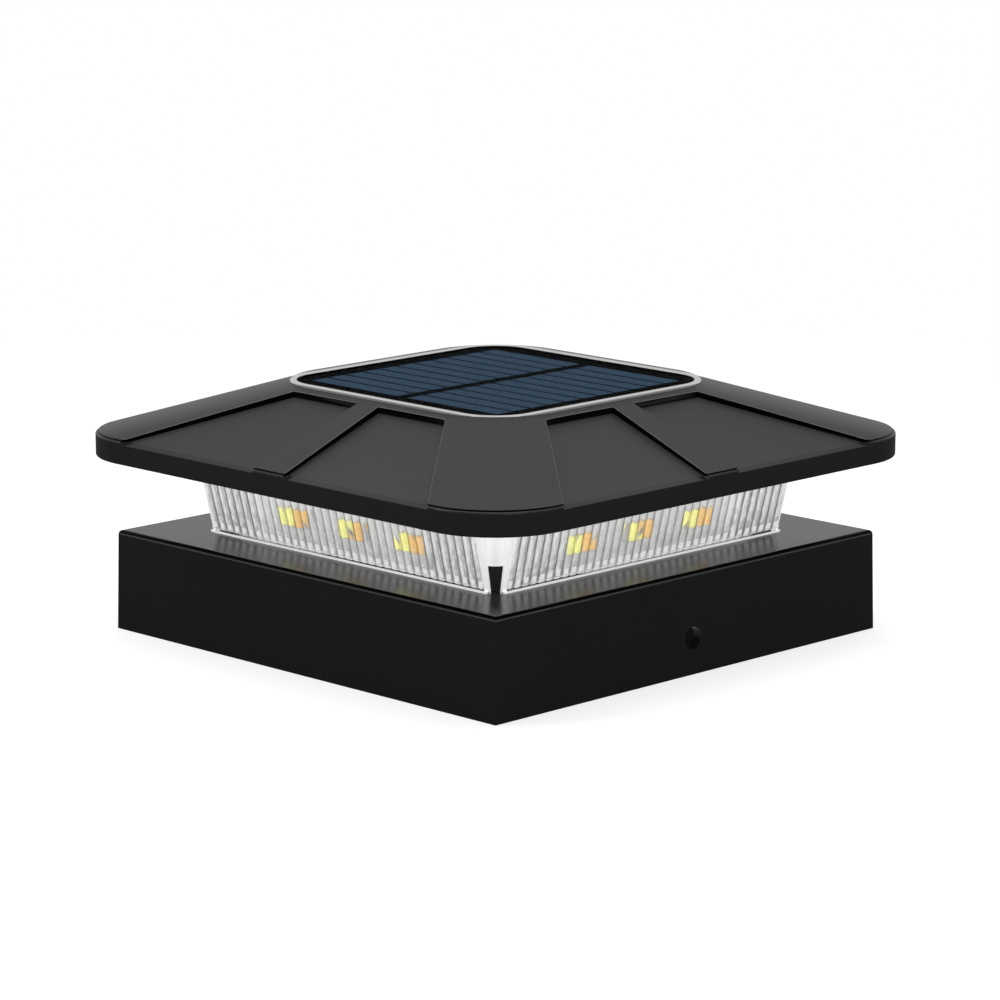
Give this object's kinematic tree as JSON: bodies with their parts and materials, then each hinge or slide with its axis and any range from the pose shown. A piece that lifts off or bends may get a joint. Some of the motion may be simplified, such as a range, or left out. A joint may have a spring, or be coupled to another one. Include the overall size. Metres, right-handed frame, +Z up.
{
  "type": "deck_post_cap_light",
  "caption": "Square solar post cap light: black hip roof with a solar panel, fluted clear lens round paired LEDs, and a black skirt that drops over a deck post.",
  "frame": {"origin": "middle of the skirt's lower edge, on the post's axis", "axes": "+Z up along the post, -Y the front left face in the picture, +X the front right face with the screw hole"},
  "size_m": [0.177, 0.177, 0.0739],
  "materials": {
    "black_roof": "semi-gloss moulded black ABS",
    "black_base": "semi-gloss moulded black ABS, slightly darker than the roof",
    "grey_foam": "closed-cell double-sided foam tape",
    "black_board": "solar panel's backing board, black solder mask",
    "solar_silicon": "blue-grey monocrystalline silicon strips",
    "clear_resin": "clear potting resin over the cells",
    "clear_lens": "clear polycarbonate with upright flutes",
    "black_rubber": "soft black silicone seal",
    "white_tray": "white reflective ABS",
    "white_board": "aluminium-core LED board with white solder mask",
    "white_package": "white moulded LED frame",
    "cool_phosphor": "pale yellow phosphor under clear silicone",
    "warm_phosphor": "orange phosphor under clear silicone",
    "ivory_plastic": "ivory nylon connector housing",
    "green_board": "fibreglass board with green solder mask",
    "chip_resin": "moulded black epoxy",
    "capacitor_can": "drawn aluminium can",
    "coil_ferrite": "dark ferrite core with varnished winding",
    "battery_sleeve": "blue shrink sleeve over the steel can",
    "nickel_spring": "nickel-plated spring steel",
    "steel_pin": "plain steel pin",
    "switch_case": "black nylon switch case with tinned terminals",
    "switch_knob": "black acetal slider",
    "plated_screw": "zinc-plated steel",
    "white_lead": "white insulated lead",
    "red_lead": "red insulated lead",
    "black_lead": "black insulated lead"
  },
  "bodies": {
    "light": {"roof_shell": "black_roof", "panel_adhesive": "grey_foam", "solar_board": "black_board", "solar_cells": "solar_silicon", "solar_glaze": "clear_resin", "lens": "clear_lens", "lower_gasket": "black_rubber", "upper_gasket": "black_rubber", "reflector_tray": "white_tray", "led_board_front": "white_board", "led_board_right": "white_board", "led_board_back": "white_board", "led_board_left": "white_board", "led_packages": "white_package", "cool_phosphor": "cool_phosphor", "warm_phosphor": "warm_phosphor", "led_sockets": "ivory_plastic", "control_board": "green_board", "control_chip": "chip_resin", "smoothing_capacitor": "capacitor_can", "boost_coil": "coil_ferrite", "board_headers": "ivory_plastic", "battery_cell": "battery_sleeve", "contact_plus": "nickel_spring", "contact_minus": "nickel_spring", "base_shell": "black_base", "door_gasket": "black_rubber", "hinge_pin": "steel_pin", "switch_body": "switch_case", "base_screws": "plated_screw", "tray_screws": "plated_screw", "board_screws": "plated_screw", "switch_screws": "plated_screw", "led_lead_front": "white_lead", "led_lead_right": "white_lead", "led_lead_back": "white_lead", "led_lead_left": "white_lead", "solar_lead_red": "red_lead", "solar_lead_black": "black_lead", "battery_lead_red": "red_lead", "battery_lead_black": "black_lead", "switch_lead": "white_lead"},
    "door": {"battery_door": "black_base"},
    "knob": {"switch_knob": "switch_knob"}
  },
  "joints": [
    {"name": "door_hinge", "type": "hinge", "parent": "light", "child": "door", "pos_m": [-0.0442, -0.018, 0.0252], "axis": [0, 1, 0], "range_deg": [0, 100]},
    {"name": "switch_slide", "type": "slide", "parent": "light", "child": "knob", "axis": [1, 0, 0], "range_m": [-0.0025, 0.0025]}
  ]
}
